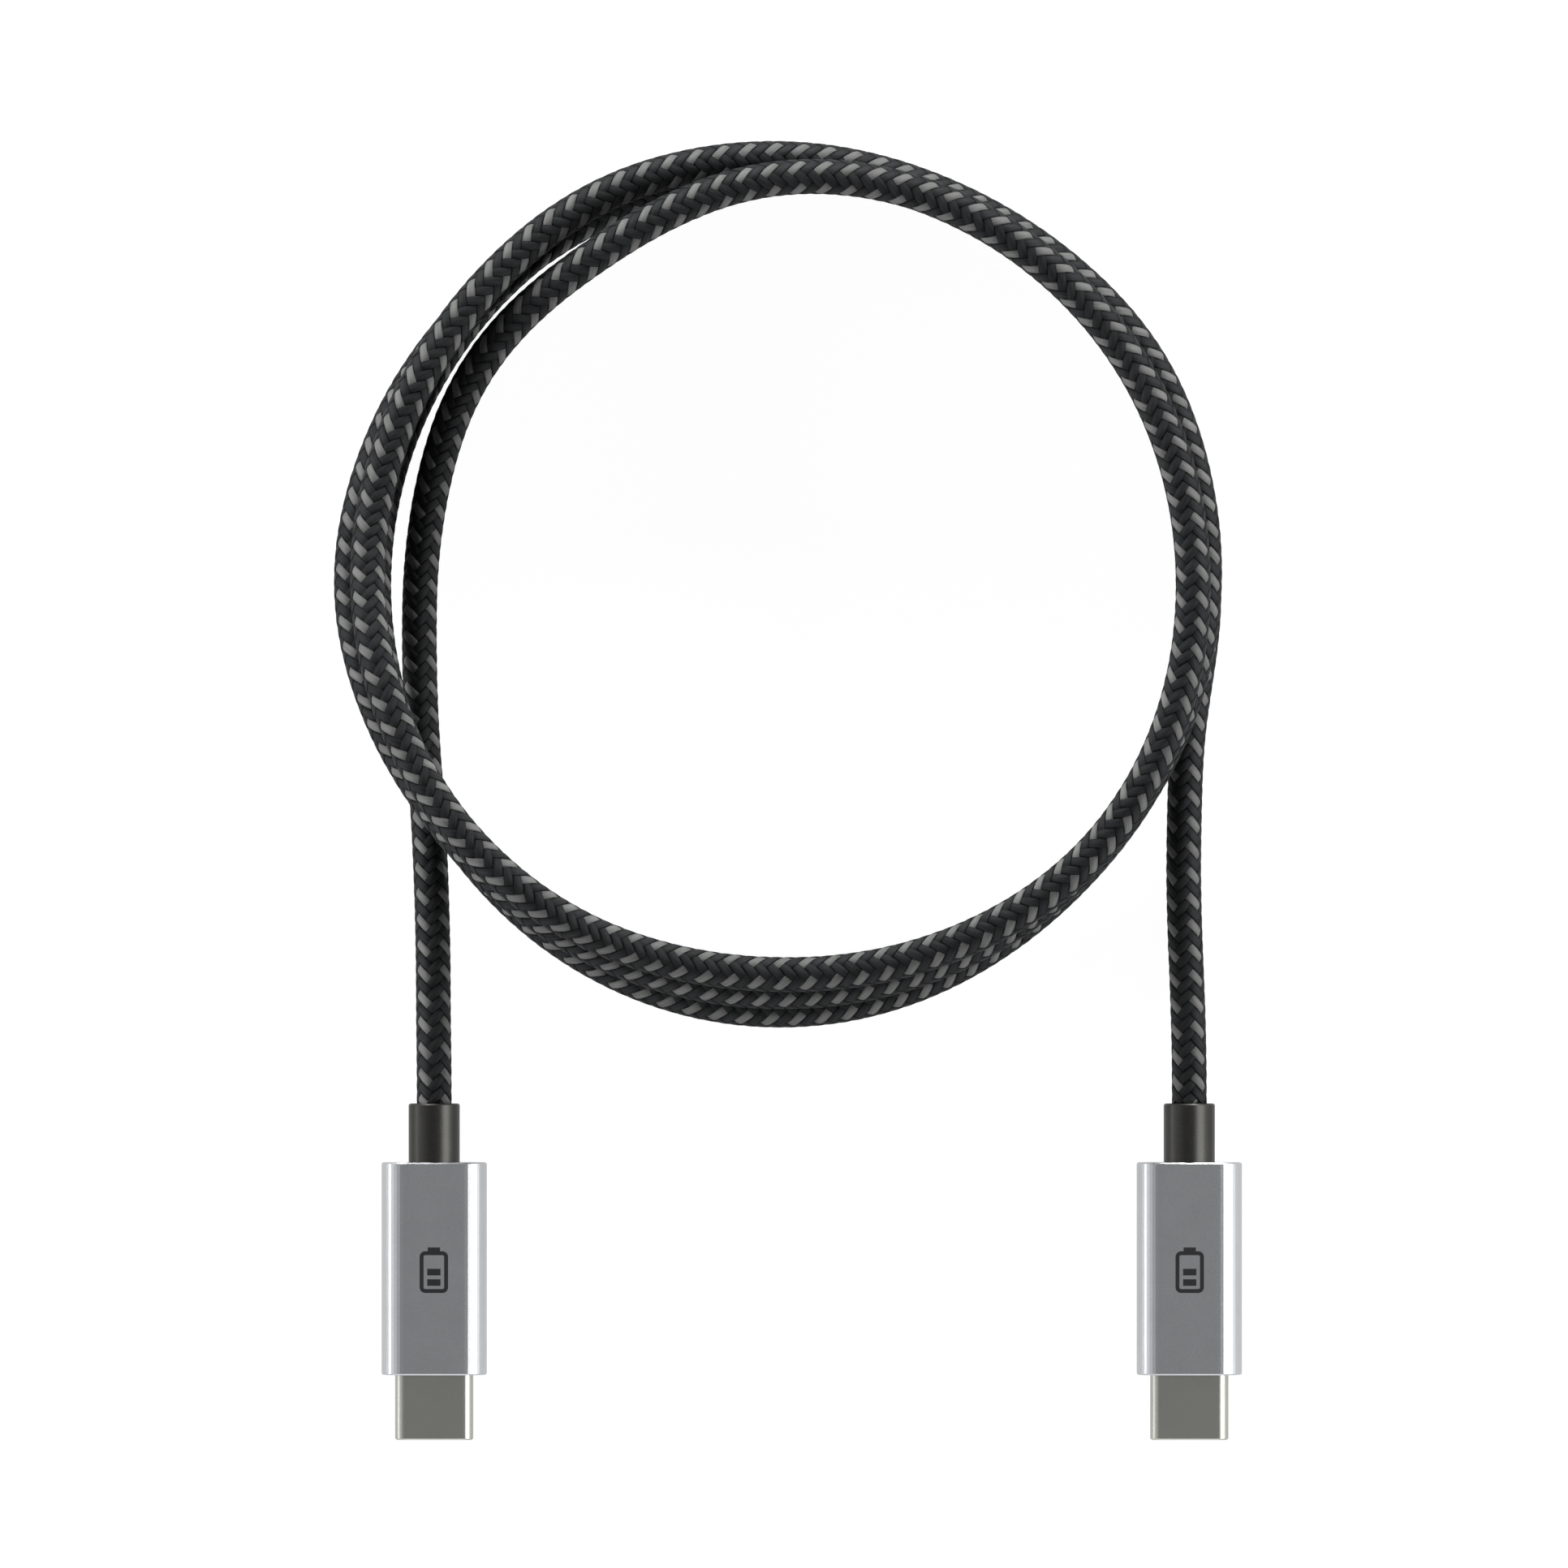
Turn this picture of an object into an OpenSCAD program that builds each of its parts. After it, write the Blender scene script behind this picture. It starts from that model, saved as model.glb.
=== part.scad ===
// Charging cable with two identical plugs and a long braided cord, coiled flat.
// Frame: +Z up, the cable lies on z = 0. The origin is midway between the plugs,
// at the middle of their length, and both plugs point along -Y.

/* [Layout] */
// Distance between the two plugs' centre lines
plug_spacing = 79.6; // [79:0.1:80.5]

/* [Sleeve] */
// Width of the metal sleeve
sleeve_w = 11.1; // [10.9:0.1:12]
// Height of the metal sleeve
sleeve_h = 5.6; // [5.5:0.1:6.2]
// Length of the metal sleeve
sleeve_l = 22.4; // [22:0.1:25]
// Radius of the sleeve's long edges
sleeve_r = 2.65; // [2.3:0.05:2.7]
// Wall thickness of the sleeve
sleeve_wall = 0.6; // [0.5:0.05:0.6]
// Chamfer around both ends of the sleeve
sleeve_chamfer = 0.15; // [0.05:0.05:0.3]

/* [Connector] */
// Width of the steel shell
shell_w = 8.25; // [8.2:0.01:8.3]
// Height of the steel shell
shell_h = 2.4; // [2.36:0.01:2.44]
// Length of shell that stands out of the sleeve
shell_exposed = 6.85; // [6.5:0.05:6.9]
// Distance between neighbouring contacts
contact_pitch = 0.5; // [0.48:0.01:0.52]

/* [Collar] */
// Outer diameter of the strain relief collar
collar_d = 5.4; // [5:0.1:5.6]
// Length of collar that stands out of the sleeve
collar_l = 6.2; // [4:0.1:8]

/* [Cord] */
// Outer diameter of the braided cord
cord_d = 3.7; // [3.5:0.05:3.7]

/* [Coil] */
// Centre of the coil, left or right of the origin
coil_x = -3.5; // [-4:0.1:-3]
// Centre of the coil, away from the plugs
coil_y = 72.4; // [71:0.1:74]
// Inner radius of the wound bundle
coil_inner_r = 39.4; // [39:0.1:40]
// Outer radius of the wound bundle
coil_outer_r = 47.2; // [46.5:0.1:47.5]
// Height of the wound bundle
coil_h = 14.8; // [13:0.1:16]

/* [Hidden] */
$fn = 48;
eps = 0.05;

// Places along the plug, measured from its middle. The tip is at the -Y end.
plug_l = shell_exposed + sleeve_l + collar_l;
tip_y = -plug_l / 2;
sleeve_front = tip_y + shell_exposed;
sleeve_rear = sleeve_front + sleeve_l;
collar_end = sleeve_rear + collar_l;

// Sleeve and the spigot that the collar is pressed in by
sleeve_end_wall = 1;
cavity_w = sleeve_w - 2 * sleeve_wall;
cavity_h = sleeve_h - 2 * sleeve_wall;
cavity_r = sleeve_r - sleeve_wall;
spigot_d = 4.4;
spigot_l = 1.25;
collar_bore_d = cord_d + 0.1;
collar_chamfer = 0.15;

// Front insert that closes the sleeve around the shell
insert_recess = 0.2;
insert_l = 1.4;
insert_gap = 0.02;

// Steel shell
shell_wall = 0.25;
shell_r = 1.15;
shell_l = 11.3;
shell_nose = 0.15;
shell_tab_l = 1.2;
shell_tab_h = 0.9;
shell_tab_x = 3.75;
shell_rear = tip_y + shell_l;
bore_w = shell_w - 2 * shell_wall;
bore_h = shell_h - 2 * shell_wall;

// Contact housing inside the shell
housing_gap = 0.025;
housing_front = tip_y + 0.25;
housing_rear = tip_y + 7.6;
tongue_w = 6.8;
tongue_h = 0.86;
tongue_depth = 6.35;
slot_w = 0.3;
slot_z = [0.25, 0.74];
slot_front = tip_y + 1.9;

// Contacts: the side view of one spring contact, as distance from the tip and height
contact_w = 0.25;
contact_t = 0.12;
CONTACT_LINE = [[2.1, 0.64], [2.9, 0.4], [3.8, 0.6], [8, 0.6], [8.4, 0.46], [9.6, 0.46]];
UPPER_POSITIONS = [1, 4, 5, 6, 7, 9, 12];
LOWER_POSITIONS = [1, 4, 5, 9, 12];
position_count = 12;

// Latch plate between the two rows of contacts
latch_t = 0.2;
latch_arm_x = 3.46;
latch_arm_w = 0.25;
latch_front = tip_y + 2;
latch_bar = [tip_y + 6.7, tip_y + 7.5];
latch_hook_y = tip_y + 2.6;
latch_hook_l = 0.7;
latch_hook_depth = 0.35;
latch_gap = 0.03;

// Ground springs behind the mouth
spring_w = 5.6;
spring_t = 0.1;
spring_z = 0.8;
spring_y = [tip_y + 0.5, tip_y + 1.5];
spring_finger_w = 0.8;
spring_finger_z = 0.42;
spring_finger_y = spring_y[0] + 0.45;
spring_fold = 0.1;
SPRING_FINGERS = [-1.9, 0, 1.9];

// Circuit card, its parts and the wires soldered to it
card_w = 7.6;
card_t = 0.8;
card_front = tip_y + 8.3;
card_l = 11;
card_notch_d = 1.2;
card_notch_y = shell_rear + 2;
capacitor = [1, 0.5, 0.5];
capacitor_terminal = 0.25;
capacitor_at = [1.6, -3.2];
joint_h = 0.35;
joint_r = [0.5, 0.3];
joint_y = 0.6;
power_wire_d = 0.95;
signal_wire_d = 0.6;
wire_gap = 0.01;
// Bends of a wire, as distances behind its solder joint
WIRE_BENDS = [-0.5, 0.8, 1.6, 3.3, 5, 6];

// Each wire: its place on the card, its side of the card, its place in the cord and its diameter
POWER = [-2.4, 1, [-0.55, -0.25], power_wire_d];
GROUND = [2.4, -1, [0.55, -0.25], power_wire_d];
DATA_PLUS = [-1.1, 1, [-0.63, 0.62], signal_wire_d];
DATA_MINUS = [1.1, 1, [0.63, 0.62], signal_wire_d];
SENSE = [0, 1, [0, 0.64], signal_wire_d];

// Shield can and the moulded filling inside it
can_w = 9.6;
can_h = 4.2;
can_r = 1.9;
can_wall = 0.2;
can_y = [-7, 6.1];
can_split = 0.01;
mold_y = [-6, 2.1];
mold_gap = 0.01;

// Cord end inside the plug
jacket_d = 3.1;
core_bore_d = 2.5;
jacket_front = 5.6;
ferrule_d = 4.3;
ferrule_y = [6.3, 9.8];

// Printed battery sign on the sleeve
mark_w = 3;
mark_l = 4.4;
mark_r = 0.6;
mark_line = 0.42;
mark_nub = [1.3, 0.45];
mark_bar = [1.4, 0.7];
MARK_BARS = [-1.1, 0];
mark_depth = 0.06;

// Cord routes where it isn't coiled. Each point is [x, y, z] of the cord's centre line.
cord_r = cord_d / 2;
cord_sides = 8;
TAIL_A = [
    [-plug_spacing / 2, collar_end, sleeve_h / 2],
    [-39.8, 22, 2.7], [-39.9, 27, 2.3], [-39.9, 32, 1.95],
    [-40, 37, 1.85], [-40.2, 43, 1.85], [-40.5, 49, 1.85], [-41, 55, 1.85],
    [-41.3, 61, 1.85], [-41.4, 67, 1.85], [-41.3, 73, 1.9], [-40.7, 79, 2.3],
    [-39.5, 85, 3.3], [-37.5, 91, 4.8], [-34, 97, 6.5], [-29, 102.3, 8.2],
    [-23, 106.8, 9.8], [-16.2, 111, 11],
];
TAIL_B = [
    [41.4, 74, 1.85], [41.3, 68, 1.85], [40.6, 63, 1.85], [39.8, 58, 1.85],
    [39.4, 53, 1.85], [39.3, 48, 1.85], [39.2, 42, 1.85], [39.3, 37, 1.85],
    [39.5, 32, 1.95], [39.7, 27, 2.3], [39.8, 22, 2.7],
    [plug_spacing / 2, collar_end, sleeve_h / 2],
];

ENDS = ["a", "b"];
PLUG_PARTS = [
    "plug_shell", "contact_housing", "upper_contacts", "lower_contacts", "latch_plate",
    "upper_ground_spring", "lower_ground_spring", "circuit_card", "bypass_capacitor",
    "solder_joints", "power_wire", "ground_wire", "data_plus_wire", "data_minus_wire",
    "sense_wire", "inner_mold", "upper_shield_can", "lower_shield_can", "cord_jacket_end",
    "cord_braid_end", "crimp_ferrule", "strain_relief_collar", "front_insert",
    "plug_sleeve", "battery_mark",
];

// ---- shared shapes ----

// Puts a plug part at end "a" (left) or "b" (right), lifted so that the sleeve rests on z = 0
module at_plug(end) {
    translate([(end == "a" ? -1 : 1) * plug_spacing / 2, 0, sleeve_h / 2]) children();
}

// Extrudes an outline drawn in X and Z from y0 to y1
module along_y(y0, y1) {
    translate([0, y1, 0]) rotate([90, 0, 0]) linear_extrude(y1 - y0) children();
}

// Rectangle with round corners, centred; r may be half of h
module rounded_rect(w, h, r) {
    square([w - 2 * r, h], center = true);
    if (h > 2 * r) square([w, h - 2 * r], center = true);
    for (sx = [-1, 1], sz = h > 2 * r ? [-1, 1] : [0]) {
        translate([sx * (w / 2 - r), sz * (h / 2 - r)]) circle(r);
    }
}

// Bar along Y with a round-cornered outline and a chamfer c0 at y0 and c1 at y1
module chamfered_bar(w, h, r, y0, y1, c0, c1) {
    hull() {
        along_y(y0 + c0, y1 - c1) rounded_rect(w, h, r);
        along_y(y0, y0 + eps) rounded_rect(w - 2 * c0, h - 2 * c0, r - c0);
        along_y(y1 - eps, y1) rounded_rect(w - 2 * c1, h - 2 * c1, r - c1);
    }
}

// Box given by its lowest and highest corners
module span(low, high) {
    translate(low) cube(high - low);
}

// Round tube along Y
module ring_y(y0, y1, d, bore) {
    along_y(y0, y1) difference() {
        circle(d = d);
        circle(d = bore);
    }
}

// Copies children to the lower face of the plug
module both_rows() {
    children();
    mirror([0, 0, 1]) children();
}

function contact_x(position) = (position - (position_count + 1) / 2) * contact_pitch;

// ---- swept tubes ----

function unit(v) = v / norm(v);
function heading(p, i) = unit(p[min(i + 1, len(p) - 1)] - p[max(i - 1, 0)]);
function side_of(t) = unit(cross(t, [0, 0, 1]));

// One ring of a tube around point i of route p
function ring(p, i, r, sides) =
    let (t = heading(p, i), s = side_of(t), u = cross(s, t))
    [for (k = [0:sides - 1]) p[i] + r * (cos(360 * k / sides) * s + sin(360 * k / sides) * u)];

// Closed tube of one polyhedron along the route p
module tube(p, d, sides) {
    rings = len(p);
    polyhedron(
        points = [for (i = [0:rings - 1]) each ring(p, i, d / 2, sides)],
        faces = concat(
            [[for (k = [0:sides - 1]) k]],
            [[for (k = [sides - 1:-1:0]) (rings - 1) * sides + k]],
            [for (i = [0:rings - 2]) for (k = [0:sides - 1])
                let (a = i * sides + k, b = i * sides + (k + 1) % sides)
                [a, a + sides, b + sides, b]]
        ),
        convexity = 4
    );
}

// ---- connector ----

module plug_shell() {
    color("lightgray") {
        difference() {
            chamfered_bar(shell_w, shell_h, shell_r, tip_y, shell_rear, shell_nose, eps);
            along_y(tip_y - eps, shell_rear + eps) rounded_rect(bore_w, bore_h, bore_h / 2 - eps);
        }
        for (sx = [-1, 1]) {
            span(
                [sx * shell_tab_x + (sx > 0 ? 0 : -shell_wall), shell_rear - 1, -shell_tab_h / 2],
                [sx * shell_tab_x + (sx > 0 ? shell_wall : 0), shell_rear + shell_tab_l, shell_tab_h / 2]
            );
        }
    }
}

module contact_housing() {
    color("dimgray") difference() {
        along_y(housing_front, housing_rear) {
            rounded_rect(bore_w - 2 * housing_gap, bore_h - 2 * housing_gap, 0.85);
        }
        span([-tongue_w / 2, tip_y, -tongue_h / 2], [tongue_w / 2, tip_y + tongue_depth, tongue_h / 2]);
        both_rows() for (i = [1:position_count]) {
            span(
                [contact_x(i) - slot_w / 2, slot_front, slot_z[0]],
                [contact_x(i) + slot_w / 2, housing_rear + eps, slot_z[1]]
            );
        }
        both_rows() ground_spring_pocket();
        latch_pocket();
    }
}

// Room for one ground spring: its strip above, and a window for each finger
module ground_spring_pocket() {
    span(
        [-spring_w / 2 - eps, spring_y[0] - eps, spring_z - 0.01],
        [spring_w / 2 + eps, spring_y[1] + eps, shell_h / 2]
    );
    for (x = SPRING_FINGERS) {
        span(
            [x - spring_finger_w / 2 - eps, spring_y[0] - eps, 0],
            [x + spring_finger_w / 2 + eps, spring_y[1] + eps, spring_z + eps]
        );
    }
}

// Room for the latch plate: side channels for its arms and a slit for its cross bar
module latch_pocket() {
    half_w = latch_arm_x + latch_arm_w / 2 + latch_gap;
    half_t = latch_t / 2 + latch_gap;
    for (sx = [-1, 1]) {
        scale([sx, 1, 1]) span(
            [tongue_w / 2 - eps, latch_front - latch_gap, -half_t],
            [half_w, housing_rear + eps, half_t]
        );
    }
    span([-half_w, latch_bar[0] - latch_gap, -half_t], [half_w, housing_rear + eps, half_t]);
}

// Bent strip seen from the side, extruded across X
module strip_contact() {
    half = contact_t / 2;
    outline = concat(
        [for (p = CONTACT_LINE) [tip_y + p[0], p[1] + half]],
        [for (i = [len(CONTACT_LINE) - 1:-1:0]) [tip_y + CONTACT_LINE[i][0], CONTACT_LINE[i][1] - half]]
    );
    translate([-contact_w / 2, 0, 0]) rotate([90, 0, 90]) linear_extrude(contact_w) polygon(outline);
}

module upper_contacts() {
    color("gold") for (i = UPPER_POSITIONS) translate([contact_x(i), 0, 0]) strip_contact();
}

module lower_contacts() {
    color("gold") mirror([0, 0, 1]) {
        for (i = LOWER_POSITIONS) translate([contact_x(i), 0, 0]) strip_contact();
    }
}

module latch_plate() {
    color("silver") {
        span(
            [-latch_arm_x - latch_arm_w / 2, latch_bar[0], -latch_t / 2],
            [latch_arm_x + latch_arm_w / 2, latch_bar[1], latch_t / 2]
        );
        translate([0, 0, -latch_t / 2]) linear_extrude(latch_t) for (sx = [-1, 1]) polygon([
            [sx * (latch_arm_x + latch_arm_w / 2), latch_bar[0] + eps],
            [sx * (latch_arm_x + latch_arm_w / 2), latch_front],
            [sx * (latch_arm_x - latch_arm_w / 2), latch_front],
            [sx * (latch_arm_x - latch_hook_depth), latch_hook_y],
            [sx * (latch_arm_x - latch_arm_w / 2), latch_hook_y + latch_hook_l],
            [sx * (latch_arm_x - latch_arm_w / 2), latch_bar[0] + eps],
        ]);
    }
}

module ground_spring() {
    color("silver") {
        span([-spring_w / 2, spring_y[0], spring_z], [spring_w / 2, spring_y[1], spring_z + spring_t]);
        for (x = SPRING_FINGERS) {
            translate([x - spring_finger_w / 2, 0, 0]) rotate([90, 0, 90]) linear_extrude(spring_finger_w) {
                polygon([
                    [spring_y[0], spring_z + spring_t],
                    [spring_finger_y, spring_finger_z],
                    [spring_y[1] - spring_fold, spring_z - spring_fold],
                    [spring_y[1] - spring_fold, spring_z],
                    [spring_finger_y, spring_finger_z + spring_t],
                    [spring_y[0] + 2 * spring_fold, spring_z + spring_t],
                ]);
            }
        }
    }
}

// ---- circuit card and wires ----

module circuit_card() {
    color("darkgreen") difference() {
        span([-card_w / 2, card_front, -card_t / 2], [card_w / 2, card_front + card_l, card_t / 2]);
        for (sx = [-1, 1]) {
            translate([sx * card_w / 2, card_notch_y, 0]) {
                cylinder(d = card_notch_d, h = 2, center = true);
            }
        }
    }
}

module bypass_capacitor() {
    translate([capacitor_at[0] - capacitor[0] / 2, capacitor_at[1] - capacitor[1] / 2, card_t / 2]) {
        color("burlywood") translate([capacitor_terminal, 0, 0]) {
            cube([capacitor[0] - 2 * capacitor_terminal, capacitor[1], capacitor[2]]);
        }
        color("silver") for (x = [0, capacitor[0] - capacitor_terminal]) {
            translate([x, 0, 0]) cube([capacitor_terminal, capacitor[1], capacitor[2]]);
        }
    }
}

// Route of a wire from its solder joint, over the card's edge and into the cord's core
function wire_route(wire) =
    let (
        x = wire[0],
        z = wire[1] * (card_t / 2 + joint_h + wire_gap + wire[3] / 2),
        core = wire[2]
    ) [
        [x, joint_y + WIRE_BENDS[0], z],
        [x, joint_y + WIRE_BENDS[1], z],
        [x, joint_y + WIRE_BENDS[2], z],
        [(x + core[0]) / 2, joint_y + WIRE_BENDS[3], (z + core[1]) / 2],
        [core[0], joint_y + WIRE_BENDS[4], core[1]],
        [core[0], joint_y + WIRE_BENDS[5], core[1]],
        [core[0], collar_end, core[1]],
    ];

module wire(w) {
    tube(wire_route(w), w[3], cord_sides);
}

module power_wire() {
    color("firebrick") wire(POWER);
}

module ground_wire() {
    color("black") wire(GROUND);
}

module data_plus_wire() {
    color("forestgreen") wire(DATA_PLUS);
}

module data_minus_wire() {
    color("whitesmoke") wire(DATA_MINUS);
}

module sense_wire() {
    color("steelblue") wire(SENSE);
}

module solder_joints() {
    color("lightgray") for (w = [POWER, GROUND, DATA_PLUS, DATA_MINUS, SENSE]) {
        translate([w[0], joint_y, w[1] * card_t / 2]) mirror([0, 0, w[1] > 0 ? 0 : 1]) {
            cylinder(r1 = joint_r[0], r2 = joint_r[1], h = joint_h);
        }
    }
}

module inner_mold() {
    color("ivory") difference() {
        along_y(mold_y[0], mold_y[1]) {
            rounded_rect(
                can_w - 2 * can_wall - 2 * mold_gap,
                can_h - 2 * can_wall - 2 * mold_gap,
                can_r - can_wall
            );
        }
        along_y(mold_y[0] - eps, shell_rear + shell_tab_l + eps) {
            square([shell_w, shell_tab_h + 2 * mold_gap], center = true);
        }
        circuit_card();
        capacitor_pocket();
        for (w = [POWER, GROUND, DATA_PLUS, DATA_MINUS, SENSE]) solder_pocket(w);
    }
}

// Room in the moulding for the capacitor, open to the card
module capacitor_pocket() {
    corner = [capacitor_at[0] - capacitor[0] / 2, capacitor_at[1] - capacitor[1] / 2, card_t / 2 - eps];
    translate(corner) cube(capacitor + [0, 0, eps]);
}

// Room in the moulding for one solder joint and its wire, open to the card and to the rear
module solder_pocket(w) {
    half_w = joint_r[0] + eps;
    top = card_t / 2 + joint_h + wire_gap + w[3] + mold_gap;
    mirror([0, 0, w[1] > 0 ? 0 : 1]) span(
        [w[0] - half_w, joint_y - half_w, card_t / 2 - eps],
        [w[0] + half_w, mold_y[1] + eps, top]
    );
}

// ---- metal work around the card ----

module shield_can() {
    color("silver") intersection() {
        difference() {
            along_y(can_y[0], can_y[1]) rounded_rect(can_w, can_h, can_r);
            along_y(can_y[0] + can_wall, can_y[1] - can_wall) {
                rounded_rect(can_w - 2 * can_wall, can_h - 2 * can_wall, can_r - can_wall);
            }
            along_y(can_y[0] - eps, can_y[0] + 1) rounded_rect(shell_w, shell_h, shell_r);
            along_y(can_y[1] - 1, can_y[1] + eps) circle(d = jacket_d);
        }
        span([-can_w, can_y[0] - 1, can_split], [can_w, can_y[1] + 1, can_h]);
    }
}

module upper_shield_can() {
    shield_can();
}

module lower_shield_can() {
    mirror([0, 0, 1]) shield_can();
}

module cord_jacket_end() {
    color("dimgray") ring_y(jacket_front, collar_end, jacket_d, core_bore_d);
}

module cord_braid_end() {
    color("darkslategray") ring_y(ferrule_y[0], collar_end, cord_d, jacket_d);
}

module crimp_ferrule() {
    color("goldenrod") ring_y(ferrule_y[0], ferrule_y[1], ferrule_d, cord_d);
}

// ---- outside of the plug ----

module strain_relief_collar() {
    color("dimgray") rotate([-90, 0, 0]) rotate_extrude() polygon([
        [collar_bore_d / 2, sleeve_rear - spigot_l],
        [spigot_d / 2, sleeve_rear - spigot_l],
        [spigot_d / 2, sleeve_rear],
        [collar_d / 2, sleeve_rear],
        [collar_d / 2, collar_end - collar_chamfer],
        [collar_d / 2 - collar_chamfer, collar_end],
        [collar_bore_d / 2, collar_end],
    ]);
}

module front_insert() {
    color("black") along_y(sleeve_front + insert_recess, sleeve_front + insert_recess + insert_l) {
        difference() {
            rounded_rect(cavity_w - 2 * insert_gap, cavity_h - 2 * insert_gap, cavity_r - insert_gap);
            rounded_rect(shell_w, shell_h, shell_r);
        }
    }
}

module plug_sleeve() {
    color("slategray") difference() {
        chamfered_bar(
            sleeve_w, sleeve_h, sleeve_r, sleeve_front, sleeve_rear, sleeve_chamfer, sleeve_chamfer
        );
        along_y(sleeve_front - eps, sleeve_rear - sleeve_end_wall) {
            rounded_rect(cavity_w, cavity_h, cavity_r);
        }
        along_y(sleeve_rear - sleeve_end_wall - eps, sleeve_rear + eps) circle(d = spigot_d);
        translate([0, 0, sleeve_h / 2 - mark_depth]) linear_extrude(1) mark_outline();
    }
}

// Battery sign seen from above: a rounded frame, its terminal and the charge bars
module mark_outline() {
    difference() {
        rounded_rect(mark_w, mark_l, mark_r);
        rounded_rect(mark_w - 2 * mark_line, mark_l - 2 * mark_line, mark_r - mark_line);
    }
    translate([0, mark_l / 2 + mark_nub[1] / 2 - eps]) square(mark_nub, center = true);
    for (y = MARK_BARS) translate([0, y]) square(mark_bar, center = true);
}

module battery_mark() {
    color("black") translate([0, 0, sleeve_h / 2 - mark_depth]) linear_extrude(mark_depth) mark_outline();
}

// ---- cord ----

// Outer shape of the wound turns
module cord_coil() {
    color("darkslategray") translate([coil_x, coil_y, 0]) rotate_extrude() {
        translate([(coil_inner_r + coil_outer_r) / 2, coil_h / 2]) {
            rounded_rect(coil_outer_r - coil_inner_r, coil_h, cord_r);
        }
    }
}

module cord_tail_a() {
    color("darkslategray") tube(TAIL_A, cord_d, cord_sides);
}

module cord_tail_b() {
    color("darkslategray") tube(TAIL_B, cord_d, cord_sides);
}

// ---- assembly ----

cord_coil();
cord_tail_a();
cord_tail_b();

for (end = ENDS) {
    at_plug(end) plug_shell();
    at_plug(end) contact_housing();
    at_plug(end) upper_contacts();
    at_plug(end) lower_contacts();
    at_plug(end) latch_plate();
    at_plug(end) ground_spring();
    union() {
        at_plug(end) mirror([0, 0, 1]) ground_spring();
    }
    at_plug(end) circuit_card();
    at_plug(end) bypass_capacitor();
    at_plug(end) solder_joints();
    at_plug(end) power_wire();
    at_plug(end) ground_wire();
    at_plug(end) data_plus_wire();
    at_plug(end) data_minus_wire();
    at_plug(end) sense_wire();
    at_plug(end) inner_mold();
    at_plug(end) upper_shield_can();
    at_plug(end) lower_shield_can();
    at_plug(end) cord_jacket_end();
    at_plug(end) cord_braid_end();
    at_plug(end) crimp_ferrule();
    union() {
        at_plug(end) strain_relief_collar();
    }
    at_plug(end) front_insert();
    at_plug(end) plug_sleeve();
    at_plug(end) battery_mark();
}
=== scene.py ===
"""Charging cable: a long braided cord wound flat, with the same metal plug on both ends.

Lengths are in metres unless a name ends in _MM. The coil's turns are counted in degrees,
clockwise from above, with 0 on the coil's left side.
"""
import math

import bpy
import numpy as np
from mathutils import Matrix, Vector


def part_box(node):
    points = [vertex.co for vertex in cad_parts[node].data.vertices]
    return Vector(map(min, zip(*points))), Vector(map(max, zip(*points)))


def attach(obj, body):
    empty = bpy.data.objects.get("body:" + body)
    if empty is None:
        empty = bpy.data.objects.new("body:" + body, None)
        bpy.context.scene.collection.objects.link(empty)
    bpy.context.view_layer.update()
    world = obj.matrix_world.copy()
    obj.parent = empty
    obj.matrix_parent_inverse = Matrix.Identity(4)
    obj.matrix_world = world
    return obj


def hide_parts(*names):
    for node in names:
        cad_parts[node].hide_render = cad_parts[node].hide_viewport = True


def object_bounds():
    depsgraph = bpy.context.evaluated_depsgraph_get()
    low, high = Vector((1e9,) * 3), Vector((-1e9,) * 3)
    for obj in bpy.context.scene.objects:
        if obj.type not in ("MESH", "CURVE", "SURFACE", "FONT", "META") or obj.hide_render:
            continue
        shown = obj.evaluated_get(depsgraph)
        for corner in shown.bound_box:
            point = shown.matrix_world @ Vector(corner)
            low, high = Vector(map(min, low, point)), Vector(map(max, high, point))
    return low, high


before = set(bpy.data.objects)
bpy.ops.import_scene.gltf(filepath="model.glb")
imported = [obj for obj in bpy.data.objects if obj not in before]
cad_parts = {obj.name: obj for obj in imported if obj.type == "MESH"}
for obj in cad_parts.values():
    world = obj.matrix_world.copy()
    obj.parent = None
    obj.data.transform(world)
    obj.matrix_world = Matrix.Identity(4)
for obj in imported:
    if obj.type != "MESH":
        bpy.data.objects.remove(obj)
cad_low, cad_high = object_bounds()

# ---- sizes ----
MM = 0.001
BODY = "root"

CORD_D_MM = 3.7
CORD_R_MM = CORD_D_MM / 2
COLLAR_OVERLAP_MM = 0.3  # how far the cord runs back into each collar

# Routes of the two ends, the same points as in the part's source
TAIL_A_MM = [
    (-39.8, 17.725, 2.8), (-39.8, 22, 2.7), (-39.9, 27, 2.3), (-39.9, 32, 1.95),
    (-40, 37, 1.85), (-40.2, 43, 1.85), (-40.5, 49, 1.85), (-41, 55, 1.85),
    (-41.3, 61, 1.85), (-41.4, 67, 1.85), (-41.3, 73, 1.9), (-40.7, 79, 2.3),
    (-39.5, 85, 3.3), (-37.5, 91, 4.8), (-34, 97, 6.5), (-29, 102.3, 8.2),
    (-23, 106.8, 9.8), (-16.2, 111, 11),
]
TAIL_B_MM = [
    (41.4, 74, 1.85), (41.3, 68, 1.85), (40.6, 63, 1.85), (39.8, 58, 1.85),
    (39.4, 53, 1.85), (39.3, 48, 1.85), (39.2, 42, 1.85), (39.3, 37, 1.85),
    (39.5, 32, 1.95), (39.7, 27, 2.3), (39.8, 22, 2.7), (39.8, 17.725, 2.8),
]

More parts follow.
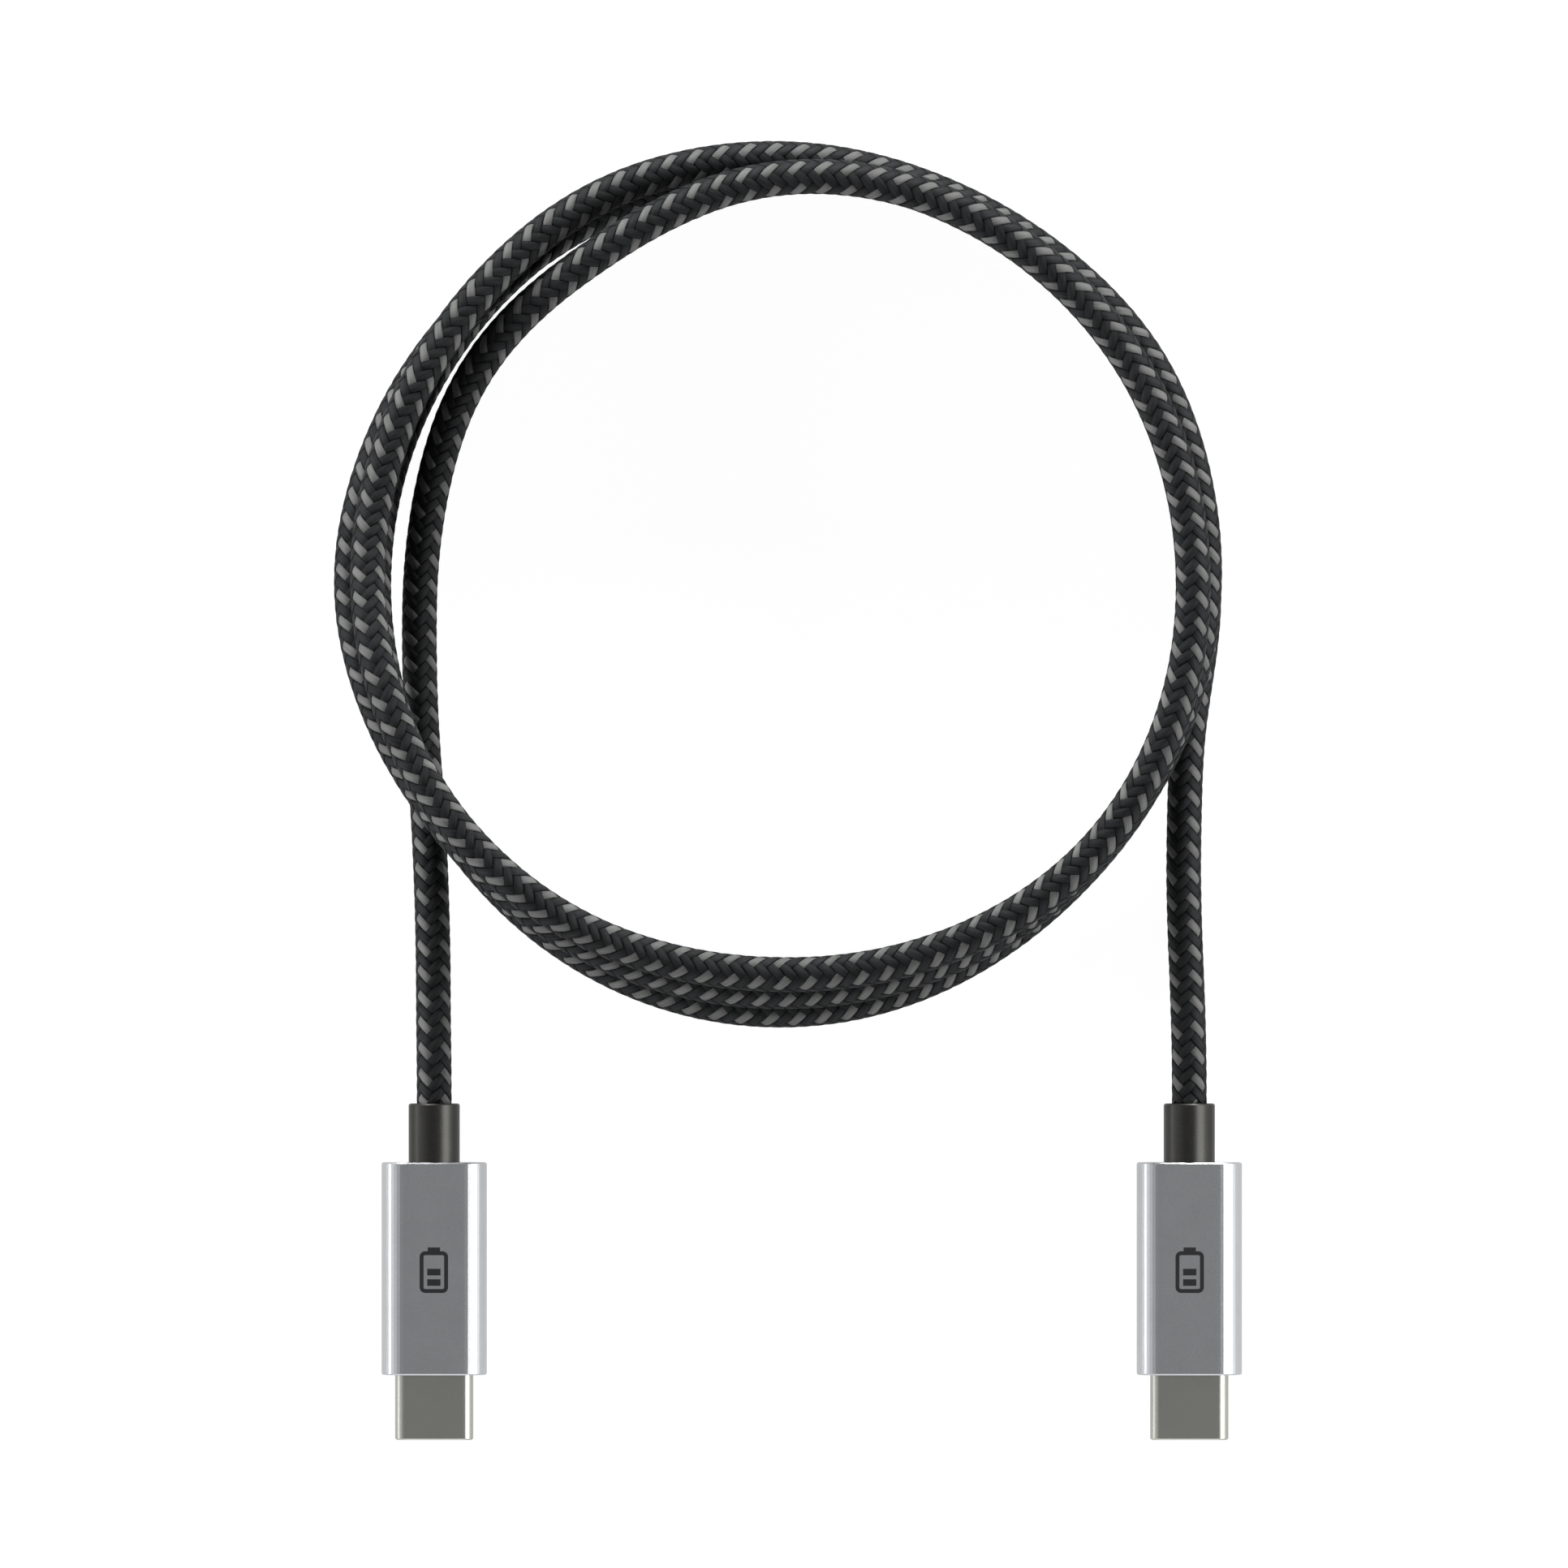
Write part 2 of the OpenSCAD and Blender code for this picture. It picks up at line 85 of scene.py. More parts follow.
# The wound turns: where they start and end, and how far from the coil's centre they lie
COIL_START, COIL_END = 84, 1250
COIL_STEP = 6
COIL_BLUR, COIL_BLUR_REACH, COIL_BLUR_STEP = 8, 12, 3  # rounding of the radii below
COIL_RADIUS_MM = [
    (72, 40.5), (83, 42.2), (92, 43), (110, 43.8), (150, 43.85), (180, 43.6), (200, 43.8),
    (215, 43.75), (226, 43.3), (240, 42.4), (252, 41.7), (270, 41), (285, 41.2), (297, 41.7),
    (323, 42.5), (360, 43.3), (395, 43.6), (410, 44.2), (425, 45.1), (450, 44.9), (475, 44.5),
    (492, 44.9), (510, 45.8), (525, 45.2), (540, 44.9), (580, 43.7), (630, 42.9), (685, 43.1),
    (702, 44.2), (720, 45.3), (735, 44.7), (750, 44.1), (770, 43.4), (800, 43.5), (820, 43.8),
    (870, 43.95), (900, 43.7), (925, 44.2), (942, 43.8), (958, 44.2), (975, 44.85), (990, 45),
    (1007, 44.7), (1024, 43.9), (1043, 42.9), (1080, 42.7), (1110, 42.95), (1140, 43.7),
    (1170, 44.5), (1200, 44.3), (1230, 44.8), (1258, 44.93),
]
DROP = (905, 978)  # the lowest turn comes down to the floor between these
HUMP = (285, 318, 342, 378)  # where each turn climbs over, rests on and leaves the first tail
ROUTE_SPACING_MM = 0.5  # of the points while small kinks are evened out
ROUTE_PASSES = 60
LINE_SPACING_MM = 0.25

# Braid: carriers in each direction, the length of one full turn of a carrier, and one ribbon
CARRIERS = 8
BRAID_PITCH_MM = 10.9
RIBBON_HALF_W_MM = 0.475
RIBBON_HALF_T_MM = 0.06
WEAVE_MEAN_MM = 1.735
WEAVE_DEPTH_MM = 0.06
WEAVE_SHARPNESS = 3.5
WEAVE_BIAS = 0.16  # above 0 the left-turning ribbons lie on top for longer
RIB_ANGLE = 36  # of a column of light ribs, from straight up towards the outside of the coil
CARRIER_OFFSET = 360 / CARRIERS / 4  # between a rib and the first carrier, in degrees
CROSSINGS = CARRIERS // 2  # how often a ribbon comes up in one full turn
UNEVEN_LEVEL_MM = 0.006
UNEVEN_WIDTH = 0.015
BRAID_SEED = 7
CORE_R_MM = 1.64
CORE_SIDES = 16
CORE_SPACING_MM = 1.0

CAMERA_LENS_MM = 600
CAMERA_SENSOR_MM = 36
CAMERA_REACH = 50
VIEW_WIDTH = 165.1 * MM
VIEW_SHIFT = (-0.25 * MM, 0.465 * MM)
VIEW_PLANE = 6 * MM
FLOOR_HALF = 8
FLOOR_DROP = 0.05 * MM  # the floor lies this much below the cable


# ---- route of the cord ----

def smooth(x):
    """0 below 0, 1 above 1, and a smooth step between."""
    x = np.clip(x, 0, 1)
    return x * x * x * (x * (6 * x - 15) + 10)


def coil_centre():
    low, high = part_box("cord_coil")
    return (low.x + high.x) / 2 / MM, (low.y + high.y) / 2 / MM


def coil_radius(turn):
    """Distance from the coil's centre, rounded off between the chosen places."""
    at, radius = zip(*COIL_RADIUS_MM)
    spread = np.arange(-COIL_BLUR_REACH, COIL_BLUR_REACH + 1, COIL_BLUR_STEP)
    weight = np.exp(-((spread / COIL_BLUR) ** 2))
    return float(np.sum(weight * np.interp(turn + spread, at, radius)) / weight.sum())


def floor_height(turn):
    """Height of the lowest turn's centre line: on the floor, or over the first tail."""
    at = (turn - HUMP[0]) % 360
    up = smooth(at / (HUMP[1] - HUMP[0]))
    down = smooth((at - (HUMP[2] - HUMP[0])) / (HUMP[3] - HUMP[2]))
    return CORD_R_MM + CORD_D_MM * float(up - down)


def resting_on(turn, below):
    """How much higher a turn lies than the turn that it rests on."""
    apart = coil_radius(turn) - coil_radius(below)
    return math.sqrt(max(CORD_D_MM**2 - apart**2, 0))


def coil_height(turn):
    """Each turn lies on the one after it, and the last one comes down to the floor."""
    if turn + 360 <= COIL_END:
        return coil_height(turn + 360) + resting_on(turn, turn + 360)
    start, end = DROP
    lift = resting_on(COIL_END - 360, COIL_END) * (1 - smooth((turn - start) / (end - start)))
    return floor_height(turn) + float(lift)


def coil_point(turn):
    x, y = coil_centre()
    angle = math.radians(180 - turn)
    r = coil_radius(turn)
    return x + r * math.cos(angle), y + r * math.sin(angle), coil_height(turn)


def route_points():
    """All the chosen and computed points, from the collar of plug a to the collar of plug b."""
    first = (TAIL_A_MM[0][0], TAIL_A_MM[0][1] - COLLAR_OVERLAP_MM, TAIL_A_MM[0][2])
    last = (TAIL_B_MM[-1][0], TAIL_B_MM[-1][1] - COLLAR_OVERLAP_MM, TAIL_B_MM[-1][2])
    turns = [coil_point(t) for t in range(COIL_START, COIL_END + 1, COIL_STEP)]
    return np.array([first, *TAIL_A_MM, *turns, *TAIL_B_MM, last])


def resample(points, spacing):
    """The same line with its points evenly spaced."""
    length = np.concatenate([[0], np.cumsum(np.linalg.norm(np.diff(points, axis=0), axis=1))])
    at = np.linspace(0, length[-1], int(round(length[-1] / spacing)) + 1)
    return np.stack([np.interp(at, length, points[:, k]) for k in range(3)], axis=1), at


def spline(points, steps=24):
    """Catmull-Rom curve through the points, with its tangents scaled to the spacing."""
    gaps = np.linalg.norm(np.diff(points, axis=0), axis=1)
    slope = np.gradient(points, np.concatenate([[0], np.cumsum(gaps)]), axis=0)
    t = np.linspace(0, 1, steps, endpoint=False)[:, None]
    h00, h10 = 2 * t**3 - 3 * t**2 + 1, t**3 - 2 * t**2 + t
    h01, h11 = -2 * t**3 + 3 * t**2, t**3 - t**2
    parts = [
        h00 * a + h10 * gap * m + h01 * b + h11 * gap * n
        for a, b, m, n, gap in zip(points[:-1], points[1:], slope[:-1], slope[1:], gaps)
    ]
    return np.vstack([*parts, points[-1:]])


def rounded(points, passes):
    """Evens out small kinks and keeps both ends."""
    for _ in range(passes):
        points[1:-1] = (points[:-2] + 2 * points[1:-1] + points[2:]) / 4
    return points


def centre_line():
    """Evenly spaced points along the cord in millimetres, and the distance to each."""
    line, _ = resample(spline(route_points()), ROUTE_SPACING_MM)
    return resample(rounded(line, ROUTE_PASSES), LINE_SPACING_MM)


LINE, ALONG = centre_line()
CORD_LENGTH_MM = ALONG[-1]


def line_frames():
    """Tangent, left-hand and upward direction at each point of the cord."""
    tangent = np.gradient(LINE, axis=0)
    tangent /= np.linalg.norm(tangent, axis=1, keepdims=True)
    left = np.cross((0, 0, 1), tangent)
    left /= np.linalg.norm(left, axis=1, keepdims=True)
    return tangent, left, np.cross(tangent, left)


TANGENT, LEFT, UP = line_frames()


def around(distance, angle, radius):
    """Points at these distances along the cord, angles from straight up to the left, and radii."""
    def sample(table):
        return np.stack([np.interp(distance, ALONG, table[:, k]) for k in range(3)], axis=-1)

    beyond = (distance - np.clip(distance, 0, CORD_LENGTH_MM))[..., None]
    across = np.sin(angle)[..., None] * sample(LEFT) + np.cos(angle)[..., None] * sample(UP)
    return sample(LINE) + beyond * sample(TANGENT) + radius[..., None] * across


# ---- meshes ----

def new_mesh(name, vertices_mm, quads):
    """Smooth-shaded mesh of quads that rides on the cable."""
    mesh = bpy.data.meshes.new(name)
    mesh.vertices.add(len(vertices_mm))
    mesh.vertices.foreach_set("co", (vertices_mm * MM).astype(np.float32).ravel())
    mesh.loops.add(quads.size)
    mesh.loops.foreach_set("vertex_index", quads.astype(np.int32).ravel())
    mesh.polygons.add(len(quads))
    mesh.polygons.foreach_set("loop_start", np.arange(0, quads.size, 4, dtype=np.int32))
    mesh.polygons.foreach_set("use_smooth", np.ones(len(quads), dtype=bool))
    mesh.update(calc_edges=True)
    piece = bpy.data.objects.new(name, mesh)
    bpy.context.scene.collection.objects.link(piece)
    return piece


def tube_quads(rings, sides):
    """Quads between neighbouring rings of a tube whose points go round the left way."""
    ring, side = np.meshgrid(np.arange(rings - 1), np.arange(sides), indexing="ij")
    a = ring * sides + side
    b = ring * sides + (side + 1) % sides
    return np.stack([a, b, b + sides, a + sides], axis=-1).reshape(-1, 4)


def make_core():
    """Dark core that shows between the ribbons: the cable's own dark core, darkened further as
    painted shade in the gaps.
    """
    distance = np.arange(0, CORD_LENGTH_MM, CORE_SPACING_MM)
    angle = np.linspace(0, 2 * np.pi, CORE_SIDES, endpoint=False)
    s, a = np.meshgrid(distance, angle, indexing="ij")
    points = around(s, a, np.full_like(s, CORE_R_MM)).reshape(-1, 3)
    return new_mesh("cord_core", points, tube_quads(len(distance), CORE_SIDES)[:, ::-1])


# Cross-section of a ribbon: share of its half width, share of its half thickness
RIBBON_SECTION = [(-1, -0.2), (-0.82, 0.65), (0, 1), (0.82, 0.65), (1, -0.2), (0, -1)]
# Rings in one crossing of two ribbons, closer together where the ribbon lies on top
RING_PLACES = (0.06, 0.18, 0.32, 0.44, 0.56, 0.69, 0.81, 0.94)


def ribbon(hand, carrier, rng):
    """Vertices, quads, yarn coordinates and crests of one carrier's ribbon along the whole cord.

    hand is 1 for the ribbons that turn to the left as they go, and -1 for the others. The crest
    is 1 in the middle of each stretch that lies on top, and -1 where it lies deepest.
    """
    turn_rate = hand * 2 * np.pi / BRAID_PITCH_MM
    start = math.radians(RIB_ANGLE - CARRIER_OFFSET) + carrier * 2 * np.pi / CARRIERS
    rib = math.radians(RIB_ANGLE)
    crossing = BRAID_PITCH_MM / CROSSINGS
    # the first place where this ribbon comes to the middle of a column of its own ribs
    first = ((rib - start) / turn_rate) % crossing - crossing
    count = int(CORD_LENGTH_MM / crossing) + 3
    s = first + crossing * (np.arange(count)[:, None] + np.array(RING_PLACES) - 0.25)
    s = s.ravel()
    s = s[(s > 0) & (s < CORD_LENGTH_MM)]
    angle = start + turn_rate * s
    swing = np.cos(CROSSINGS * (angle - rib))
    wave = np.tanh(WEAVE_SHARPNESS * (swing + WEAVE_BIAS))
    level = WEAVE_MEAN_MM + hand * WEAVE_DEPTH_MM * wave
    level = level + rng.normal(0, UNEVEN_LEVEL_MM, len(s))
    width = RIBBON_HALF_W_MM * (1 + rng.normal(0, UNEVEN_WIDTH, len(s)))

    across = np.array([u for u, _ in RIBBON_SECTION])
    thick = np.array([v for _, v in RIBBON_SECTION])
    pitch_slope = abs(turn_rate) * WEAVE_MEAN_MM
    norm = math.hypot(1, pitch_slope)
    u = width[:, None] * across
    distance = s[:, None] - hand * u * pitch_slope / norm
    ring_angle = angle[:, None] + u / norm / WEAVE_MEAN_MM
    radius = level[:, None] + RIBBON_HALF_T_MM * thick
    points = around(distance, ring_angle, radius).reshape(-1, 3)
    quads = tube_quads(len(s), len(RIBBON_SECTION))
    yarn = np.stack(
        [0 * u + across, 0 * u + s[:, None], np.full_like(u, rng.random())], axis=-1
    )
    # the yarn material paints a highlight and shade into the colour from this crest
    crest = 0 * u + hand * swing[:, None]
    return points, quads, yarn.reshape(-1, 3), crest.ravel()


def make_ribbons(name, members, rng):
    """One piece from several carriers' ribbons, each given as (hand, carrier)."""
    points, quads, yarns, crests, base = [], [], [], [], 0
    for hand, carrier in members:
        p, q, y, c = ribbon(hand, carrier, rng)
        points.append(p)
        quads.append(q + base)
        yarns.append(y)
        crests.append(c)
        base += len(p)
    piece = new_mesh(name, np.vstack(points), np.vstack(quads))
    yarn = piece.data.attributes.new("yarn", "FLOAT_VECTOR", "POINT")
    yarn.data.foreach_set("vector", np.vstack(yarns).astype(np.float32).ravel())
    crest = piece.data.attributes.new("crest", "FLOAT", "POINT")
    crest.data.foreach_set("value", np.concatenate(crests).astype(np.float32))
    return piece


def make_braid():
    """The light ribbons, and the dark ones that fill the same and the other direction."""
    rng = np.random.default_rng(BRAID_SEED)
    groups = {
        "braid_light": [(1, c) for c in range(0, CARRIERS, 2)],
        "braid_dark_left": [(1, c) for c in range(1, CARRIERS, 2)],
        "braid_dark_right_1": [(-1, c) for c in range(0, CARRIERS, 2)],
        "braid_dark_right_2": [(-1, c) for c in range(1, CARRIERS, 2)],
    }
    return {name: make_ribbons(name, members, rng) for name, members in groups.items()}


# ---- materials ----

class Nodes:
    """Short names for building one material's node tree."""

    def __init__(self, name):
        self.material = bpy.data.materials.new(name)
        self.material.use_nodes = True
        self.tree = self.material.node_tree
        self.shader = self.tree.nodes["Principled BSDF"]

    def add(self, kind, **settings):
        node = self.tree.nodes.new("ShaderNode" + kind)
        for key, value in settings.items():
            setattr(node, key, value)
        return node

    def link(self, source, target):
        self.tree.links.new(source, target)

    def noise(self, vector, scale, detail=3.0, roughness=0.55, stretch=None):
        """Noise from 0 to 1; stretch multiplies the coordinates along each axis."""
        if stretch:
            mapping = self.add("Mapping")
            mapping.inputs["Scale"].default_value = stretch
            self.link(vector, mapping.inputs["Vector"])
            vector = mapping.outputs["Vector"]
        noise = self.add("TexNoise")
        noise.inputs["Scale"].default_value = scale
        noise.inputs["Detail"].default_value = detail
        noise.inputs["Roughness"].default_value = roughness
        self.link(vector, noise.inputs["Vector"])
        return noise.outputs["Fac"]

    def part(self, vector, axis):
        split = self.add("SeparateXYZ")
        self.link(vector, split.inputs[0])
        return split.outputs[axis]

    def math(self, operation, *values):
        """Math node; each value is a number or another node's output."""
        node = self.add("Math", operation=operation)
        for socket, value in zip(node.inputs, values):
            if isinstance(value, (int, float)):
                socket.default_value = value
            else:
                self.link(value, socket)
        return node.outputs[0]

    def blended(self, first, second, share):
        """Mix of two noises, with this share of the first."""
        rest = self.math("MULTIPLY", second, 1 - share)
        return self.math("MULTIPLY_ADD", first, share, rest)

    def ramp(self, value, *stops):
        """Colour ramp; each stop is (position, colour)."""
        ramp = self.add("ValToRGB")
        elements = ramp.color_ramp.elements
        while len(elements) < len(stops):
            elements.new(0.5)
        for element, (position, colour) in zip(elements, stops):
            element.position = position
            element.color = (*colour, 1)
        self.link(value, ramp.inputs["Fac"])
        return ramp.outputs["Color"]

    def spread(self, value, low, high):
        """Maps the middle of a noise onto low to high."""
        node = self.add("MapRange")
        node.inputs["From Min"].default_value = 0.3
        node.inputs["From Max"].default_value = 0.7
        node.inputs["To Min"].default_value = low
        node.inputs["To Max"].default_value = high
        self.link(value, node.inputs["Value"])
        return node.outputs["Result"]

    def bump(self, height, strength, distance):
        bump = self.add("Bump")
        bump.inputs["Strength"].default_value = strength
        bump.inputs["Distance"].default_value = distance
        self.link(height, bump.inputs["Height"])
        self.link(bump.outputs["Normal"], self.shader.inputs["Normal"])

    def set(self, **values):
        for key, value in values.items():
            self.shader.inputs[key.replace("_", " ")].default_value = value


def tinted(colour, factor):
    return tuple(min(c * factor, 1) for c in colour)


def yarn_material(name, colour, low, high):
    """Nylon yarn: fine filaments along each ribbon, with painted shade at its edges and where it
    dips, and a painted highlight where it lies on top.

    low and high are the darkest and lightest shades, as shares of the colour; between them lie
    random tone, painted shade and a painted highlight.
    """
    n = Nodes(name)
    yarn = n.add("Attribute", attribute_name="yarn").outputs["Vector"]
    crest = n.add("Attribute", attribute_name="crest").outputs["Fac"]
    filament = n.noise(yarn, 1, 2.0, 0.6, stretch=FILAMENT_STRETCH)
    blotch = n.noise(yarn, 1, 2.0, 0.5, stretch=BLOTCH_STRETCH)
    # painted shade: the colour darkens towards each ribbon's edges, where its neighbours shade it
    edge_shade_mask = n.math("POWER", n.math("ABSOLUTE", n.part(yarn, "X")), EDGE_POWER)
    tone_and_painted_shade = n.math("MULTIPLY_ADD", edge_shade_mask, -EDGE_PAINTED_SHADE, n.blended(filament, blotch, 0.6))
    # painted highlight and shade: lighter in the middle of each stretch on top, darker where the
    # ribbon dips under
    tone_and_painted_shade = n.math("MULTIPLY_ADD", crest, CREST_PAINTED_LIGHT_AND_SHADE, tone_and_painted_shade)
    n.link(
        n.ramp(tone_and_painted_shade, (0.25, tinted(colour, low)), (0.85, tinted(colour, high))),
        n.shader.inputs["Base Color"],
    )
    n.link(n.spread(filament, *YARN_ROUGHNESS), n.shader.inputs["Roughness"])
    n.bump(filament, 0.6, FILAMENT_RELIEF)
    n.set(Specular_IOR_Level=YARN_GLOSS)
    return n.material


def surface_material(
    name, colour, metallic, roughness, grain, stretch=None, bump=0.15, vary=0.12
):
    """Metal, plastic or laminate: grain in its colour, its gloss and its surface."""
    n = Nodes(name)
    place = n.add("TexCoord").outputs["Object"]
    fine = n.noise(place, 1 / grain, 4.0, 0.6, stretch=stretch)
    broad = n.noise(place, 0.02 / grain, 2.0)
    dark, light = tinted(colour, 1 - vary), tinted(colour, 1 + vary)
    n.link(
        n.ramp(n.blended(fine, broad, 0.85), (0.32, dark), (0.68, light)),
        n.shader.inputs["Base Color"],
    )
    n.link(n.spread(fine, roughness * 0.85, roughness * 1.15), n.shader.inputs["Roughness"])
    n.bump(fine, bump, 0.2 * grain)
    n.set(Metallic=metallic)
    return n.material


# Finish of each material slot: colour, metallic, roughness, grain size in metres
FINISHES = {
    "sleeve_aluminium": ((0.79, 0.81, 0.825), 1, 0.22, 0.06 * MM),
    "connector_steel": ((0.65, 0.66, 0.595), 1, 0.24, 0.08 * MM),
    "black_plastic": ((0.02, 0.02, 0.021), 0, 0.5, 0.08 * MM),
    "gold_contacts": ((0.85, 0.6, 0.24), 1, 0.22, 0.05 * MM),
    "spring_steel": ((0.58, 0.58, 0.57), 1, 0.28, 0.05 * MM),
    "card_laminate": ((0.012, 0.09, 0.035), 0, 0.35, 0.15 * MM),
    "ceramic": ((0.5, 0.36, 0.22), 0, 0.6, 0.05 * MM),
    "solder": ((0.6, 0.61, 0.63), 1, 0.3, 0.1 * MM),
    "red_insulation": ((0.45, 0.02, 0.015), 0, 0.4, 0.1 * MM),
    "black_insulation": ((0.015, 0.015, 0.015), 0, 0.4, 0.1 * MM),
    "green_insulation": ((0.02, 0.25, 0.05), 0, 0.4, 0.1 * MM),
    "white_insulation": ((0.75, 0.75, 0.72), 0, 0.4, 0.1 * MM),
    "blue_insulation": ((0.04, 0.12, 0.4), 0, 0.4, 0.1 * MM),
    "inner_plastic": ((0.7, 0.68, 0.62), 0, 0.5, 0.2 * MM),
    "cord_jacket": ((0.03, 0.03, 0.03), 0, 0.6, 0.1 * MM),
    "ferrule_brass": ((0.7, 0.5, 0.2), 1, 0.3, 0.08 * MM),
    "mark_ink": ((0.018, 0.018, 0.02), 0, 0.45, 0.05 * MM),
}
COLLAR_COLOUR = (0.078, 0.077, 0.072)
COLLAR_BRUSHING = (0.25, 1, 0.25)  # stretches the grain into lines around the collar
# Yarn: how the noises stretch across a ribbon, along it and from carrier to carrier
FILAMENT_STRETCH = (9, 0.45, 40)
BLOTCH_STRETCH = (0.6, 0.35, 25)
FILAMENT_RELIEF = 0.02 * MM
# painted shade at the ribbon edges: how sharply and how much the colour darkens there
EDGE_POWER, EDGE_PAINTED_SHADE = 5, 0.35
# painted highlight on top of each stretch and painted shade where the ribbon dips under
CREST_PAINTED_LIGHT_AND_SHADE = 0.17
YARN_ROUGHNESS = (0.45, 0.6)
YARN_GLOSS = 0.06
YARN_DARK = (0.024, 0.0251, 0.0262)
# the core's own dark colour, darkened further as painted shade in the gaps between ribbons
CORE_COLOUR_AND_GAP_SHADE = (0.004, 0.004, 0.0045)
YARN_LIGHT = (0.18, 0.182, 0.178)
FLOOR_BOUNCE = (0.3, 0.3, 0.3)
FLOOR_SEEN = (0.15, 0.15, 0.15)
FLOOR_GLOW = 0.97
FLOOR_SHINE = 0.5  # glow that only polished faces see
BACKDROP = (1, 1, 1)
# Widths and lengths of the lamps, in metres
WIDE_PANEL, LOW_PANEL, STRIP = (0.42, 0.8), (0.2, 0.9), (0.07, 0.9)
# What polished faces see of the sky: sine of the height, brightness
SKY = [(0, 1.1), (0.14, 0.95), (0.34, 0.72), (0.57, 0.56), (0.8, 0.38), (0.92, 0.23)]
SKY_BLUE = 1.02
AMBIENT = (0.04, 0.04, 0.042)


def dress(piece, material):
    piece.data.materials.clear()
    piece.data.materials.append(material)


def dress_nodes():
    """Gives each CAD node the material of its slot."""
    made = {slot: surface_material(slot, *finish) for slot, finish in FINISHES.items()}
    made["collar_steel"] = surface_material(
        "collar_steel", COLLAR_COLOUR, 1, 0.32, 0.05 * MM,
        stretch=COLLAR_BRUSHING, bump=0.3, vary=0.2,
    )
    made["cord_braid"] = surface_material("cord_braid", YARN_DARK, 0, 0.6, 0.1 * MM)
    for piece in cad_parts.values():
        for index, old in enumerate(list(piece.data.materials)):
            slot = old.name.split(".")[0] if old else None
            if slot in made:
                piece.data.materials[index] = made[slot]


# ---- the scene around the cable ----

def make_camera():
    camera = bpy.data.objects.new("camera", bpy.data.cameras.new("camera"))
    bpy.context.scene.collection.objects.link(camera)
    camera.data.lens = CAMERA_LENS_MM
    camera.data.sensor_width = CAMERA_SENSOR_MM
    camera.data.clip_end = CAMERA_REACH
    distance = VIEW_WIDTH * CAMERA_LENS_MM / CAMERA_SENSOR_MM
    camera.location = (
        (cad_low.x + cad_high.x) / 2 + VIEW_SHIFT[0],
        (cad_low.y + cad_high.y) / 2 + VIEW_SHIFT[1],
        VIEW_PLANE + distance,
    )
    bpy.context.scene.camera = camera


def make_floor():
    half = FLOOR_HALF
    mesh = bpy.data.meshes.new("floor")
    corners = [(-half, -half, 0), (half, -half, 0), (half, half, 0), (-half, half, 0)]
    mesh.from_pydata(corners, [], [(0, 1, 2, 3)])
    floor = bpy.data.objects.new("floor", mesh)
    floor.location.z = -FLOOR_DROP
    bpy.context.scene.collection.objects.link(floor)
    dress(floor, floor_material())


def floor_material():
    """Pale paper that looks nearly white, and throws less light back on the cable."""
    n = Nodes("floor")
    n.set(Base_Color=(*FLOOR_BOUNCE, 1), Roughness=0.9, Specular_IOR_Level=0)
    path = n.add("LightPath")
    n.set(Emission_Color=(1, 1, 1, 1))
    shine = n.math("MULTIPLY", path.outputs["Is Glossy Ray"], FLOOR_SHINE)
    n.link(shine, n.shader.inputs["Emission Strength"])
    seen = n.add("BsdfPrincipled")
    seen.inputs["Base Color"].default_value = (*FLOOR_SEEN, 1)
    seen.inputs["Specular IOR Level"].default_value = 0
    seen.inputs["Emission Color"].default_value = (1, 1, 1, 1)
    seen.inputs["Emission Strength"].default_value = FLOOR_GLOW
    mix = n.add("MixShader")
    n.link(path.outputs["Is Camera Ray"], mix.inputs["Fac"])
    n.link(n.shader.outputs["BSDF"], mix.inputs[1])
    n.link(seen.outputs["BSDF"], mix.inputs[2])
    n.link(mix.outputs["Shader"], n.tree.nodes["Material Output"].inputs["Surface"])
    return n.material


def plain_background(tree, colour):
    background = tree.nodes.new("ShaderNodeBackground")
    background.inputs["Color"].default_value = (*colour, 1)
    return background


def by_ray(tree, kind, otherwise, chosen):
    """The chosen shader for one kind of ray, and the other shader for the rest."""
    mix = tree.nodes.new("ShaderNodeMixShader")
    tree.links.new(tree.nodes.new("ShaderNodeLightPath").outputs[kind], mix.inputs[0])
    tree.links.new(otherwise.outputs[0], mix.inputs[1])
    tree.links.new(chosen.outputs[0], mix.inputs[2])
    return mix


